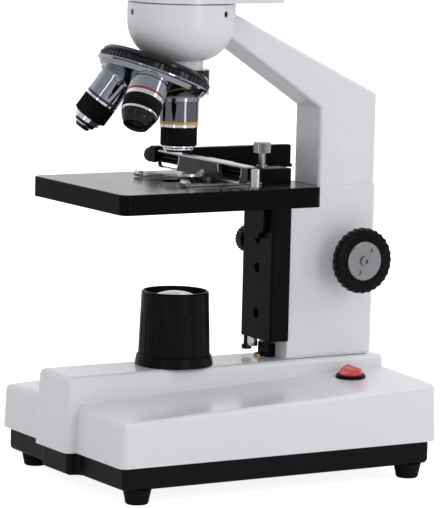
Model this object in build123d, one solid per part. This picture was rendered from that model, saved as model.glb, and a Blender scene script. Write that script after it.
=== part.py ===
from build123d import *
from math import atan, cos, degrees, hypot, pi, radians, sin, sqrt, tan
import os

# Digital microscope on a moulded base, in millimetres.
# Z is up, Z = 0 is the table, the objectives' side faces -Y and the arm stands at +Y.
# The object is symmetrical about X = 0 apart from its small controls.

# Clearances between pieces
running_gap = 0.05
slide_gap = 0.4
panel_gap = 0.3

# Base
base_width = 149.0
base_length = 222.6
ridge_overhang = 6.7
ridge_half_width = 20.6
foot_height = 8.9
foot_top_radius = 8.4
foot_bottom_radius = 6.6
foot_screw_radius = 3.2
foot_inset_x = 12.2
foot_inset_front = 23.6
foot_inset_back = 13.3
tray_height = 14.0
tray_inset = 3.3
tray_wall = 2.4
tray_edge_radius = 3.2
shelf_front_height = 25.5
shelf_back_rise = 9.0
shelf_inner_rise = 2.6
ridge_height = 44.4
cover_draft = 2.6
cover_wall = 2.6
cover_corner_radius = 4.5
cover_edge_radius = 3.4

# Power board, inlet and rocker switch
board_length = 70.0
board_width = 46.0
board_thickness = 1.6
board_post_height = 5.0
board_post_radius = 3.0
transformer_size = 30.0
inlet_radius = 5.5
inlet_flange_radius = 7.0
inlet_depth = 12.0
inlet_bore_radius = 2.8
inlet_x = 44.0
inlet_height = 14.0
switch_x = 34.5
switch_y = 74.0
bezel_radius = 9.1
bezel_height = 2.0
bezel_bore_radius = 7.4
switch_body_radius = 7.9
switch_body_depth = 12.0
rocker_radius = 6.9
rocker_half_width = 5.6
rocker_peak = 4.7
rocker_peak_offset = 2.4
rocker_low_height = 0.5
rocker_keel_radius = 4.6

# Optical axis, lamp and collector
axis_y = -29.0
lamp_flange_radius = 23.2
lamp_flange_height = 6.1
lamp_foot_radius = 21.3
lamp_top_radius = 20.0
lamp_cup_height = 37.8
lamp_wall = 2.0
lamp_flutes = 22
lamp_flute_radius = 2.6
lamp_flute_depth = 0.45
lamp_flute_share = 0.66
lens_seat_radius = 15.5
lens_seat_depth = 6.6
lens_seat_thickness = 1.6
collector_radius = 16.5
collector_edge = 2.0
collector_dome = 4.3
wire_hole_radius = 8.0
led_board_radius = 12.0
led_board_thickness = 2.0
led_radius = 3.5
heat_sink_height = 14.0

# Column, arm and head bowl
column_half_width = 16.0
column_front_y = 39.9
column_depth = 61.1
column_height = 104.2
column_wall = 2.2
column_web_height = 10.5
column_corner_radius = 3.0
arm_half_width = 14.2
arm_front_y = 60.6
arm_back_inset = 0.1
arm_inner_z = 218.3
arm_back_z = 226.1
arm_under_slope = 33.4
arm_top_slope = 25.8
arm_wall = 2.8
arm_edge_radius = 2.2
bowl_radius = 31.7
bowl_height = 34.5
bowl_shoulder = 10.5
bowl_wall = 3.0
seam_z = 281.0
neck_radius = 13.5
neck_height = 4.3
light_bore_radius = 9.0
set_screw_count = 3
set_screw_first_angle = -95.0
set_screw_radius = 1.9
set_screw_drop = 5.4

# Digital head
dovetail_radius = 28.2
dovetail_drop = 7.0
seam_gap = 0.9
head_front_radius = 31.9
head_back_y = 24.0
head_back_height = 20.0
head_front_height = 52.0
head_wall = 2.6
head_edge_radius = 5.0
screen_tilt = 36.0
screen_width = 112.0
screen_height = 76.0
screen_thickness = 11.0
screen_corner_radius = 6.0
glass_width = 98.0
glass_height = 58.0
glass_thickness = 1.2

# Nosepiece and turret
turret_tilt = 20.5
rim_z = 232.0
rim_offset = 19.4
rim_radius = 34.4
rim_thickness = 0.9
grip_radius = 33.5
grip_height = 3.5
grip_flutes = 72
grip_flute_depth = 0.35
nosepiece_radius = 32.4
nosepiece_thickness = 3.5
nosepiece_bevel = 1.8
nosepiece_flange_radius = 17.3
shell_shoulder_radius = 31.4
shell_shoulder_depth = 3.4
shell_wall = 2.4
boss_radius = 11.9
pivot_radius = 4.5
pivot_thread_radius = 2.2
pivot_head_radius = 6.5
pivot_head_height = 2.0

# Objectives, measured down their own axes from the seat
seat_z = 223.6
thread_radius = 9.6
thread_length = 2.0
glass_bore_radius = 3.2
barrel_radius_low = 11.2
barrel_radius_mid = 11.4
barrel_radius_high = 10.4
band_start_low = 7.6
band_start_mid = 11.9
band_start_high = 13.2
band_length = 1.6
grip_start_low = 11.6
grip_start_mid = 15.4
grip_start_high = 16.4
grip_length_low = 8.0
grip_length_mid = 10.8
grip_length_high = 10.6
sleeve_radius_low = 11.3
sleeve_radius_mid = 10.8
sleeve_radius_high = 10.4
sleeve_wall = 1.8
sleeve_flutes = 40
sleeve_flute_depth = 0.3
tip_length_low = 8.6
tip_length_mid = 3.8
tip_length_high = 8.4
tip_radius_low = 7.6
tip_radius_mid = 7.4
tip_radius_high = 4.4
front_lens_radius = 2.4
front_lens_length = 3.0

# Focus drive
focus_y = 79.8
focus_z = 127.9
shaft_radius = 4.0
pinion_teeth = 14
gear_module = 1.0
pinion_width = 11.0
rack_width = 9.0
rack_back = 3.2
rack_length = 62.0
tooth_share = 0.43
bush_radius = 6.8
bush_length = 10.0
bush_spigot_radius = 5.5
bush_inner_length = 1.0
knob_radius = 19.8
knob_width = 11.0
knob_flutes = 28
knob_flute_radius = 1.7
knob_flute_depth = 0.75
cap_radius = 11.7
cap_thickness = 2.2
cap_recess = 1.6
cap_proud = 0.6
dimple_circle = 7.6
dimple_radius = 1.5
dimple_depth = 0.9
cap_screw_radius = 3.2
cap_screw_height = 1.2

# Focusing carriage
carriage_half_width = 17.8
carriage_front_y = 27.3
carriage_bottom_z = 79.0
carriage_corner_radius = 2.2
tongue_half_width = 9.7
tongue_bottom_inset = 5.0
tongue_top_inset = 4.0
groove_depth = 3.0
groove_half_height = 3.5
groove_y = 53.0
rail_margin = 2.6
rail_ends = 5.0
face_hole_radius = 3.0
face_hole_depth = 3.6
face_hole_drop_1 = 24.7
face_hole_drop_2 = 42.3
face_hole_drop_3 = 69.7
face_screw_radius = 2.3
stop_block_width = 12.0
stop_block_depth = 5.0
stop_block_height = 8.2
stop_block_x = -3.0
limit_screw_radius = 1.9
limit_head_radius = 3.1
limit_head_height = 2.7
limit_screw_length = 8.5
limit_screw_x = -14.4
limit_screw_y = 30.2
lock_knob_radius = 8.6
lock_knob_width = 6.0
lock_knob_y = 34.6
lock_knob_z = 136.6
lock_stem_radius = 2.0
lock_stem_depth = 5.0

# Stage
stage_half_width = 55.7
stage_front_y = -96.6
stage_length = 134.0
stage_top_z = 176.0
stage_thickness = 11.8
stage_skin = 3.2
stage_wall = 3.4
stage_cavity_back_y = 2.0
stage_corner_radius = 5.5
aperture_radius = 9.6
condenser_radius = 11.6
condenser_thickness = 2.6
condenser_lens_radius = 8.4
bracket_half_width = 11.0
bracket_thickness = 3.0
bracket_drop = 20.6
bracket_flange_length = 17.0
bracket_corner_radius = 4.0
stop_nut_half_width = 5.2
stop_nut_height = 3.4

# Disc diaphragm
disc_radius = 27.0
disc_thickness = 1.2
disc_offset = 17.5
disc_holes = 5
disc_hole_radius = 1.5
disc_hole_growth = 1.6
disc_drop = 4.6
disc_pivot_radius = 2.0
disc_pivot_head_radius = 3.6

# Stage clips
clip_x = 27.5
clip_post_y = 7.0
clip_length = 47.0
clip_half_width = 3.0
clip_thickness = 0.8
clip_lift = 0.35
clip_tip_radius = 1.8
clip_eye_radius = 4.6
clip_screw_radius = 1.8
clip_head_radius = 3.1
clip_head_height = 1.6

# Mechanical stage
guide_plate_thickness = 1.6
guide_front_y = 12.2
guide_back_y = 34.0
bar_x = -36.0
bar_half_width = 3.0
bar_back_y = 70.0
bar_top_z = 191.6
bar_foot_width = 2.0
bar_foot_lead = 12.0
bar_foot_height = 2.0
guide_wall = 3.0
guide_wall_height = 8.0
clamp_block_x = 12.0
clamp_block_width = 13.0
clamp_block_height = 8.2
clamp_screw_x = 17.5
clamp_screw_y = 18.0
clamp_shaft_radius = 2.1
clamp_shaft_height = 9.0
clamp_head_radius = 5.1
clamp_head_height = 6.0
cross_back_y = -3.6
cross_thickness = 4.4
cross_bottom_lift = 5.0
cross_top_z = 187.2
cross_near_x = 48.5
cross_far_x = -66.0
post_radius = 2.5
post_height = 10.6
holder_lift = 2.2
holder_thickness = 2.2
holder_near_x = 45.0
holder_far_x = -62.0
scoop_radius = 13.0
scoop_depth = 8.6
scoop_near_x = 28.0
scoop_far_x = -44.0
scale_thickness = 0.9
holder_hook_depth = 1.6
hook_far_x = -8.0
hook_near_x = 20.0
hook_thickness = 1.0
finger_x = 4.0
finger_length = 24.0
finger_half_width = 2.2
finger_thickness = 1.4
finger_pin_radius = 1.5
x_knob_radius = 4.6
x_knob_width = 7.0
x_screw_radius = 1.2
x_bearing_length = 6.0
y_pinion_radius = 2.6
y_knob_radius = 4.4
y_knob_width = 6.0
y_shaft_radius = 1.4
y_drive_y = 22.0

# Levels and places that follow from the sizes above
base_half_width = base_width / 2
base_front_y = -base_length / 2
base_back_y = base_length / 2
shelf_front_y = base_front_y + ridge_overhang
cover_bottom_z = foot_height + tray_height
ridge_z = cover_bottom_z + ridge_height
lamp_cup_z = ridge_z + lamp_flange_height
lamp_top_z = lamp_cup_z + lamp_cup_height
column_back_y = column_front_y + column_depth
column_top_z = ridge_z + column_height
arm_back_y = column_back_y - arm_back_inset
neck_z = seam_z - bowl_height - neck_height
stage_back_y = stage_front_y + stage_length
stage_bottom_z = stage_top_z - stage_thickness
carriage_top_z = stage_bottom_z
carriage_back_y = column_front_y - slide_gap
pinion_radius = gear_module * pinion_teeth / 2
rack_pitch_y = focus_y - pinion_radius
knob_inner_x = column_half_width + bush_length + slide_gap
rail_bottom_z = ridge_z + column_web_height + panel_gap
guide_top_z = stage_top_z + guide_plate_thickness
foot_x = base_half_width - foot_inset_x
foot_front_y = shelf_front_y + foot_inset_front - ridge_overhang
foot_back_y = base_back_y - foot_inset_back


def block(x0, x1, y0, y1, z0, z1):
    """A rectangular block between two corners."""
    body = Box(x1 - x0, y1 - y0, z1 - z0, align=(Align.MIN, Align.MIN, Align.MIN))
    return Pos(x0, y0, z0) * body


def post(radius, z0, z1, x=0.0, y=0.0):
    """An upright cylinder."""
    body = Cylinder(radius, z1 - z0, align=(Align.CENTER, Align.CENTER, Align.MIN))
    return Pos(x, y, z0) * body


def spindle(radius, x0, x1, y, z):
    """A cylinder along X."""
    body = Cylinder(radius, x1 - x0, align=(Align.CENTER, Align.CENTER, Align.MIN))
    return Pos(x0, y, z) * Rot(0, 90, 0) * body


def turned(points):
    """A body of revolution about Z from (radius, height) points."""
    outline = Polyline(*points, close=True)
    return revolve(make_face(Plane.XZ * outline), Axis.Z)


def fluted(radius, depth, count, height):
    """A round bar with V flutes cut all round its edge."""
    points = []
    for step in range(count):
        crest = 2 * pi * step / count
        root = crest + pi / count
        points.append((radius * cos(crest), radius * sin(crest)))
        points.append(((radius - depth) * cos(root), (radius - depth) * sin(root)))
    return extrude(make_face(Polyline(*points, close=True)), height)


def plate_xz(points, y0, y1):
    """A plate cut from an outline in (x, z), as thick as y0 to y1."""
    face = make_face(Plane.XZ.offset(-y0) * Polyline(*points, close=True))
    return extrude(face, y1 - y0, dir=(0, 1, 0))


def plate_yz(points, half_width):
    """A plate cut from an outline in (y, z), centred on X = 0."""
    face = make_face(Plane.YZ.offset(-half_width) * Polyline(*points, close=True))
    return extrude(face, 2 * half_width, dir=(1, 0, 0))


def both_sides(body):
    """A body and its mirror image across X = 0."""
    return Compound(children=[body, mirror(body, Plane.YZ)])


def shelf_plane():
    """The sloping top of the base on the +X side, its origin over the switch."""
    run = base_back_y - shelf_front_y
    reach = base_half_width - ridge_half_width
    along = Vector(0, run, shelf_back_rise).normalized()
    outward = Vector(reach, 0, -shelf_inner_rise).normalized()
    normal = outward.cross(along)
    edge_z = cover_bottom_z + shelf_front_height
    share_y = (switch_y - shelf_front_y) / run
    share_x = (base_half_width - switch_x) / reach
    height = edge_z + shelf_back_rise * share_y + shelf_inner_rise * share_x
    return Plane(origin=(switch_x, switch_y, height), x_dir=outward, z_dir=normal)


def cover_body(inset, top_drop, rounded):
    """The base cover's outer form, or with an inset the space inside it."""
    half_width = base_half_width - inset
    front = shelf_front_y + inset
    back = base_back_y - inset
    height = ridge_height - top_drop
    shelf = Rectangle(2 * half_width, back - front)
    if rounded:
        shelf = fillet(shelf.vertices(), cover_corner_radius)
    shelf = Pos(0, (front + back) / 2, cover_bottom_z) * shelf
    shelf_block = extrude(shelf, height, taper=cover_draft)
    top = shelf_plane().offset(-top_drop)
    mirrored = Plane(
        origin=(-top.origin.X, top.origin.Y, top.origin.Z),
        x_dir=(top.x_dir.X, top.x_dir.Y, -top.x_dir.Z),
        z_dir=(-top.z_dir.X, top.z_dir.Y, top.z_dir.Z),
    )
    shelf_block = split(shelf_block, top, keep=Keep.BOTTOM)
    shelf_block = split(shelf_block, mirrored, keep=Keep.BOTTOM)
    if rounded:
        middle_z = cover_bottom_z + shelf_front_height / 2
        rim = [e for e in shelf_block.edges() if e.center().Z > middle_z and not is_upright(e)]
        shelf_block = fillet(rim, cover_edge_radius)
    ridge_front = base_front_y + inset
    ridge_back = base_back_y - inset - cover_wall / 2
    ridge = Rectangle(2 * (ridge_half_width - inset), ridge_back - ridge_front)
    if rounded:
        ridge = fillet(ridge.vertices(), cover_corner_radius)
    ridge = Pos(0, (ridge_front + ridge_back) / 2, cover_bottom_z) * ridge
    ridge_block = extrude(ridge, height, taper=cover_draft)
    if rounded:
        ridge_block = fillet(ridge_block.faces().sort_by(Axis.Z)[-1].edges(), cover_edge_radius)
    return shelf_block + ridge_block


def is_upright(edge):
    """Whether an edge runs nearly straight up."""
    rise = abs((edge @ 1).Z - (edge @ 0).Z)
    return rise > edge.length / 2


def base_cover():
    body = cover_body(0.0, 0.0, True)
    inside = cover_body(cover_wall, cover_wall, False)
    body -= inside
    plane = shelf_plane()
    hole = plane.location * Cylinder(switch_body_radius + panel_gap, 4 * cover_wall)
    wires = post(wire_hole_radius, ridge_z - 2 * cover_wall, ridge_z + cover_wall, 0, axis_y)
    socket = inlet_place() * Cylinder(inlet_flange_radius + running_gap, 4 * cover_wall)
    return body - hole - wires - socket


def tray_outline(inset):
    """The plan of the tray: a rectangle with the ridge's step in front."""
    front = shelf_front_y + tray_inset + inset
    back = base_back_y - tray_inset - inset
    width = 2 * (base_half_width - tray_inset - inset)
    plan = Pos(0, (front + back) / 2) * Rectangle(width, back - front)
    nose_front = base_front_y + tray_inset + inset
    nose_width = 2 * (ridge_half_width - tray_inset - inset)
    nose = Pos(0, (nose_front + back) / 2) * Rectangle(nose_width, back - nose_front)
    return plan + nose


def base_tray():
    outside = extrude(Pos(0, 0, foot_height) * tray_outline(0), tray_height)
    outside = fillet(outside.edges().filter_by(Axis.Z), cover_corner_radius - tray_wall / 2)
    outside = fillet(outside.faces().sort_by(Axis.Z)[0].edges(), tray_edge_radius)
    inside = extrude(Pos(0, 0, foot_height + tray_wall) * tray_outline(tray_wall), tray_height)
    tray = outside - inside
    for x, y in board_posts():
        tray += post(board_post_radius, foot_height + tray_wall / 2, board_bottom_z(), x, y)
    for x, y in foot_places():
        tray -= post(foot_screw_radius / 2 + running_gap, 0, foot_height + 2 * tray_wall, x, y)
    return tray


def foot_places():
    return [(x, y) for x in (-foot_x, foot_x) for y in (foot_front_y, foot_back_y)]


def board_bottom_z():
    return foot_height + tray_wall + board_post_height


def board_posts():
    x = board_length / 2 - board_post_radius - 1
    y = board_width / 2 - board_post_radius - 1
    centre_y = base_back_y / 2
    return [(sx * x, centre_y + sy * y) for sx in (-1, 1) for sy in (-1, 1)]


def rubber_feet():
    feet = []
    hole = foot_screw_radius / 2 + running_gap
    for x, y in foot_places():
        foot = turned([(foot_screw_radius, 0), (foot_bottom_radius - 0.6, 0), (foot_bottom_radius, 0.6),
                       (foot_top_radius, foot_height), (hole, foot_height), (hole, foot_height / 2),
                       (foot_screw_radius, foot_height / 2)])
        feet.append(Pos(x, y, 0) * foot)
    return Compound(children=feet)


def foot_screws():
    screws = []
    top = foot_height + tray_wall + 1.0
    for x, y in foot_places():
        head = post(foot_screw_radius - panel_gap, foot_height / 2 - 2, foot_height / 2, x, y)
        screws.append(head + post(foot_screw_radius / 2, foot_height / 2 - 1, top, x, y))
    return Compound(children=screws)


def power_board():
    z = board_bottom_z()
    y = base_back_y / 2
    top = z + board_thickness
    half_length = board_length / 2
    half_width = board_width / 2
    board = block(-half_length, half_length, y - half_width, y + half_width, z, top)
    half = transformer_size / 2
    core = block(-half, half, y - half / 2, y + half / 2, top, top + half)
    return board + core


def inlet_place():
    """Where the power inlet sits in the back wall, its own Z pointing into the base."""
    return Pos(inlet_x, base_back_y, cover_bottom_z + inlet_height) * Rot(90, 0, 0)


def power_inlet():
    flange_depth = 2 * cover_wall
    low = (Align.CENTER, Align.CENTER, Align.MIN)
    flange = Cylinder(inlet_flange_radius, flange_depth, align=low)
    barrel = Cylinder(inlet_radius, inlet_depth, align=low)
    bore = Cylinder(inlet_bore_radius, inlet_depth - cover_wall, align=low)
    return inlet_place() * (flange + barrel - bore)


def switch_body():
    """The round snap-in body of the rocker switch, open on top for the rocker."""
    low = (Align.CENTER, Align.CENTER, Align.MIN)
    high = (Align.CENTER, Align.CENTER, Align.MAX)
    bezel = Cylinder(bezel_radius, bezel_height, align=low)
    bezel = chamfer(bezel.faces().sort_by(Axis.Z)[-1].edges(), bezel_height / 2)
    body = Cylinder(switch_body_radius, switch_body_depth, align=high)
    bore = Pos(0, 0, bezel_height) * Cylinder(bezel_bore_radius, bezel_height + 7.5, align=high)
    return shelf_plane().location * (bezel + body - bore)


def rocker():
    """The rocker: a wedge with its peak off centre, above a round keel on the pivot."""
    outline = [(-rocker_radius, bezel_height / 2), (-rocker_radius, bezel_height + rocker_low_height),
               (rocker_peak_offset, bezel_height + rocker_peak),
               (rocker_radius, bezel_height + 1.6 * rocker_low_height), (rocker_radius, bezel_height / 2)]
    wedge = plate_yz(outline, rocker_radius)
    edge = [e for e in wedge.edges() if abs(e.center().Y - rocker_peak_offset) < 0.1]
    wedge = fillet(edge, 1.6)
    low = (Align.CENTER, Align.CENTER, Align.MIN)
    wedge = wedge & Cylinder(rocker_radius, bezel_height + 2 * rocker_peak, align=low)
    keel = Pos(0, 0, bezel_height / 2) * Rot(0, 90, 0) * Cylinder(rocker_keel_radius, 2 * rocker_half_width)
    return shelf_plane().location * (wedge + keel)


def lamp_flange():
    foot = lamp_flange_radius
    top = lamp_flange_radius - 0.8
    z0 = ridge_z
    z1 = ridge_z + lamp_flange_height
    seat = lamp_foot_radius + running_gap
    return turned([(led_board_radius, z0), (foot, z0), (foot, z0 + 1.0), (top, z1 - 0.6), (top - 0.6, z1),
                   (seat - lamp_wall, z1), (seat - lamp_wall, z0 + 2.0), (led_board_radius, z0 + 2.0)])


def lamp_cup():
    """The tapered lamp housing: fluted round its lower part, with a seat for the lens."""
    z0 = lamp_cup_z
    z1 = lamp_top_z
    seat_z = z1 - lens_seat_depth
    inner = lamp_top_radius - lamp_wall
    cup = turned([(lamp_foot_radius - lamp_wall, z0), (lamp_foot_radius, z0), (lamp_top_radius, z1 - 0.8),
                  (lamp_top_radius - 0.8, z1), (inner + 0.4, z1), (inner, seat_z), (lens_seat_radius - 1, seat_z),
                  (lens_seat_radius - 1, seat_z - lens_seat_thickness), (inner, seat_z - lens_seat_thickness)])
    lean = degrees(atan((lamp_foot_radius - lamp_top_radius) / lamp_cup_height))
    reach = lamp_foot_radius + lamp_flute_radius - lamp_flute_depth
    length = lamp_flute_share * lamp_cup_height
    flute = Pos(reach, 0, z0) * Rot(0, -lean, 0) * Cylinder(
        lamp_flute_radius, 2 * length)
    flute += Pos(reach, 0, z0) * Rot(0, -lean, 0) * Pos(0, 0, length) * Sphere(lamp_flute_radius)
    for step in range(lamp_flutes):
        cup -= Rot(0, 0, 360 * step / lamp_flutes) * flute
    return cup


def collector_lens():
    """A plano-convex lens lying on the seat in the lamp cup."""
    z0 = lamp_top_z - lens_seat_depth
    edge = z0 + collector_edge
    radius = (collector_radius ** 2 + collector_dome ** 2) / (2 * collector_dome)
    disc = post(collector_radius, z0, edge + collector_dome, 0, 0)
    ball = Pos(0, 0, edge + collector_dome - radius) * Sphere(radius)
    return disc & ball


def led_module():
    """A lamp board with its light source, on a heat sink that fills the flange's bore."""
    sink = post(led_board_radius - running_gap, ridge_z, ridge_z + heat_sink_height)
    board_z = ridge_z + heat_sink_height
    board = post(led_board_radius - 1, board_z, board_z + led_board_thickness)
    lamp = post(led_radius, board_z + led_board_thickness, board_z + 2 * led_board_thickness)
    lamp = fillet(lamp.faces().sort_by(Axis.Z)[-1].edges(), led_radius / 3)
    return sink + board + lamp


def column_plan(inset, front):
    depth = column_back_y - inset - front
    return Pos(0, front + depth / 2) * Rectangle(2 * (column_half_width - inset), depth)


def column_housing():
    """The lower column: a channel open to the front, closed by a web at its foot."""
    body = extrude(Pos(0, 0, ridge_z) * column_plan(0, column_front_y), column_height)
    upright = body.edges().filter_by(Axis.Z).sort_by(Axis.Y)[-2:]
    body = fillet(upright, column_corner_radius)
    foot = body.faces().sort_by(Axis.Z)[0].edges().sort_by(Axis.Y)[-1]
    body = fillet(foot, column_corner_radius)
    inner = column_plan(column_wall, column_front_y - column_wall)
    space = extrude(Pos(0, 0, ridge_z + column_web_height) * inner, column_height)
    mouth = spindle(bush_spigot_radius + running_gap, -2 * column_half_width, 2 * column_half_width, focus_y, focus_z)
    return body - space - mouth


def arm_outline(inset):
    """The side view of the upper column and arm, wound from its foot."""
    front = arm_front_y + inset
    back = arm_back_y - inset
    end_y = axis_y + bowl_radius - 3 * bowl_wall
    under = tan(radians(arm_under_slope))
    over = tan(radians(arm_top_slope))
    under_drop = inset / cos(radians(arm_under_slope))
    over_drop = inset / cos(radians(arm_top_slope))
    inner_z = arm_inner_z + under_drop - inset * under
    back_z = arm_back_z - over_drop + inset * over
    return [(front, column_top_z), (front, inner_z), (end_y, inner_z + under * (front - end_y)),
            (end_y, back_z + over * (back - end_y)), (back, back_z), (back, column_top_z)]


def bowl_solid(radius, bottom_z, top_z):
    """The filled form of the round head bowl: a flat, a quarter arc and an upright wall."""
    shoulder = seam_z - bowl_shoulder
    curve = shoulder - bottom_z
    flat = radius - curve
    corner = (flat + curve * sin(pi / 4), shoulder - curve * cos(pi / 4))
    wall = Polyline((flat, bottom_z), (0, bottom_z), (0, top_z), (radius, top_z), (radius, shoulder))
    arc = ThreePointArc((radius, shoulder), corner, (flat, bottom_z))
    outline = make_face(Plane.XZ * Wire([*wall.edges(), *arc.edges()]))
    return Pos(0, axis_y, 0) * revolve(outline, Axis.Z)


def arm_casting():
    body = plate_yz(arm_outline(0), arm_half_width)
    long_edges = [e for e in body.edges() if abs(abs(e.center().X) - arm_half_width) < 0.01
                  and e.center().Z > column_top_z + 1 and e.center().Y > axis_y + bowl_radius - 2 * bowl_wall]
    body = fillet(long_edges, arm_edge_radius)
    hollow = plate_yz(arm_outline(arm_wall), arm_half_width - arm_wall)
    return body - hollow - bowl_solid(bowl_radius, seam_z - bowl_height, seam_z + bowl_height)


def screw_angles():
    return [set_screw_first_angle + 360 * step / set_screw_count for step in range(set_screw_count)]


def head_bowl():
    body = bowl_solid(bowl_radius, seam_z - bowl_height, seam_z)
    body += post(neck_radius, neck_z, seam_z - bowl_height + 1, 0, axis_y)
    body -= bowl_solid(bowl_radius - bowl_wall, seam_z - bowl_height + bowl_wall, seam_z + bowl_wall)
    body -= post(light_bore_radius, neck_z - 1, seam_z, 0, axis_y)
    for angle in screw_angles():
        hole = Rot(0, 0, angle) * Pos(bowl_radius, 0, 0) * Rot(0, 90, 0) * Cylinder(
            set_screw_radius + running_gap, 4 * bowl_wall)
        body -= Pos(0, axis_y, seam_z - set_screw_drop) * hole
    return body


def head_set_screws():
    screws = []
    inner = dovetail_radius + panel_gap
    length = bowl_radius - 0.8 - inner
    for angle in screw_angles():
        screw = Cylinder(set_screw_radius, length, align=(Align.CENTER, Align.CENTER, Align.MIN))
        socket = Pos(0, 0, length) * extrude(RegularPolygon(set_screw_radius / 2, 6), -length / 2)
        screw = Rot(0, 0, angle) * Pos(inner, 0, 0) * Rot(0, 90, 0) * (screw - socket)
        screws.append(Pos(0, axis_y, seam_z - set_screw_drop) * screw)
    return Compound(children=screws)


def turret_place():
    """The turret's frame: origin at the rim's centre, its own Z pointing up along the turret axis."""
    tilt = radians(turret_tilt)
    centre = (0, axis_y - rim_offset * cos(tilt), rim_z + rim_offset * sin(tilt))
    return Plane(origin=centre, x_dir=(1, 0, 0), z_dir=(0, sin(tilt), cos(tilt)))


def nosepiece_base():
    """The fixed nosepiece: a tilted disc under a level flange that takes the head's neck."""
    place = turret_place().location
    low = rim_thickness + grip_height + panel_gap
    high = low + nosepiece_thickness
    disc = turned([(0, low), (nosepiece_radius - 0.4, low), (nosepiece_radius, low + 0.4),
                   (nosepiece_radius, high - nosepiece_bevel), (nosepiece_radius - nosepiece_bevel, high), (0, high)])
    flange = post(nosepiece_flange_radius, rim_z, neck_z, 0, axis_y)
    flange = chamfer(flange.faces().sort_by(Axis.Z)[-1].edges(), 0.5)
    under = turret_place().offset(low)
    flange = split(flange, under, keep=Keep.TOP)
    body = place * disc + flange
    neck = post(neck_radius + running_gap, neck_z, seam_z, 0, axis_y)
    light = post(light_bore_radius, rim_z - rim_radius, seam_z, 0, axis_y)
    pivot = place * post(pivot_thread_radius, 0, 2 * high)
    return body - neck - light - pivot


def turret_pivot():
    """The shoulder screw that the turret turns on, screwed up into the nosepiece."""
    bottom = -shell_depth() - panel_gap
    low = rim_thickness + grip_height + panel_gap
    head = post(pivot_head_radius, bottom - pivot_head_height, bottom)
    head = chamfer(head.faces().sort_by(Axis.Z)[0].edges(), 0.6)
    slot = block(-0.6, 0.6, -pivot_head_radius, pivot_head_radius, bottom - pivot_head_height, bottom - 1.1)
    stem = post(pivot_radius, bottom, low)
    thread = post(pivot_thread_radius, low, low + nosepiece_thickness - nosepiece_bevel)
    return turret_place().location * (head - slot + stem + thread)


def shell_depth():
    """How far the turret's cone reaches below the rim plane."""
    return shell_shoulder_depth + (shell_shoulder_radius - pivot_head_radius - 1) * tan(radians(turret_tilt))


def turret_shell():
    """The chromed turret shell: rim, shoulder, cone and a flat boss for each objective."""
    depth = shell_depth()
    shoulder = (shell_shoulder_radius, -shell_shoulder_depth)
    inner = pivot_head_radius + 1
    edge = (rim_radius - 1.6, -0.7)
    bore = pivot_radius + running_gap
    drop = shell_wall / cos(radians(turret_tilt))
    shell = turned([(bore, -depth), (inner, -depth), shoulder, edge, (rim_radius, 0), (rim_radius, rim_thickness),
                    (grip_radius - shell_wall, rim_thickness), (shell_shoulder_radius - 1, drop - shell_shoulder_depth),
                    (inner, drop - depth), (bore, drop - depth)])
    shell = turret_place().location * shell
    seat_top = rim_z - shell_shoulder_depth
    boss = post(boss_radius, seat_z, seat_top, 0, axis_y)
    boss -= turret_space()
    bore = post(thread_radius + running_gap, seat_z - 1, rim_z + rim_thickness, 0, axis_y)
    for angle in objective_angles():
        shell += about_turret(boss, angle)
        shell -= about_turret(bore, angle)
    return shell


def turret_space():
    """The hollow inside the turret shell."""
    depth = shell_depth()
    drop = shell_wall / cos(radians(turret_tilt))
    space = turned([(0, drop - depth), (pivot_head_radius + 1, drop - depth),
                    (shell_shoulder_radius - 1, drop - shell_shoulder_depth), (grip_radius - shell_wall, rim_thickness),
                    (2 * rim_radius, rim_thickness), (2 * rim_radius, 4 * depth), (0, 4 * depth)])
    return turret_place().location * space


def objective_angles():
    return [0, 120, 240]


def about_turret(body, angle):
    """A body on the optical axis, carried round to another place on the turret."""
    place = turret_place()
    return body.rotate(Axis(place.origin, place.z_dir), angle)


def turret_grip():
    """The fluted ring that the fingers turn, on top of the shell's rim."""
    ring = fluted(grip_radius, grip_flute_depth, grip_flutes, grip_height)
    ring -= Cylinder(grip_radius - shell_wall, 4 * grip_height)
    return turret_place().location * Pos(0, 0, rim_thickness) * ring


def objective(kind):
    """Barrel, colour band, sleeve and front lens of one objective, hanging from its seat."""
    barrel_radius, band_start, grip_start, grip_length, sleeve_radius, tip_length, tip_radius = kind
    grip_end = grip_start + grip_length
    total = grip_end + tip_length
    groove = band_start + band_length
    core = sleeve_radius - sleeve_wall
    shade = (core + tip_radius) / 2
    outline = [(glass_bore_radius, thread_length), (thread_radius, thread_length), (thread_radius, 0),
               (barrel_radius, 0), (barrel_radius, -band_start), (barrel_radius - 0.5, -band_start),
               (barrel_radius - 0.5, -groove), (barrel_radius, -groove), (barrel_radius, -grip_start),
               (core, -grip_start), (core, -grip_end), (shade + 1.2, -grip_end), (shade + 0.8, -total + 0.45 * tip_length),
               (shade - 0.8, -total + 0.45 * tip_length), (tip_radius, -total + 0.6), (tip_radius - 0.6, -total),
               (front_lens_radius + 0.6, -total), (front_lens_radius, -total + 0.6),
               (front_lens_radius, front_lens_length - total), (glass_bore_radius, front_lens_length - total)]
    barrel = turned(outline)
    band = turned([(barrel_radius - 0.5, -band_start), (barrel_radius + 0.15, -band_start),
                   (barrel_radius + 0.15, -groove), (barrel_radius - 0.5, -groove)])
    sleeve = Pos(0, 0, -grip_end) * fluted(sleeve_radius, sleeve_flute_depth, sleeve_flutes, grip_length)
    sleeve -= Pos(0, 0, -grip_start - grip_length / 2) * Cylinder(core, 2 * grip_length)
    lens = post(front_lens_radius, 0.6 - total, front_lens_length - total)
    return [Pos(0, axis_y, seat_z) * piece for piece in (barrel, band, sleeve, lens)]


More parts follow.
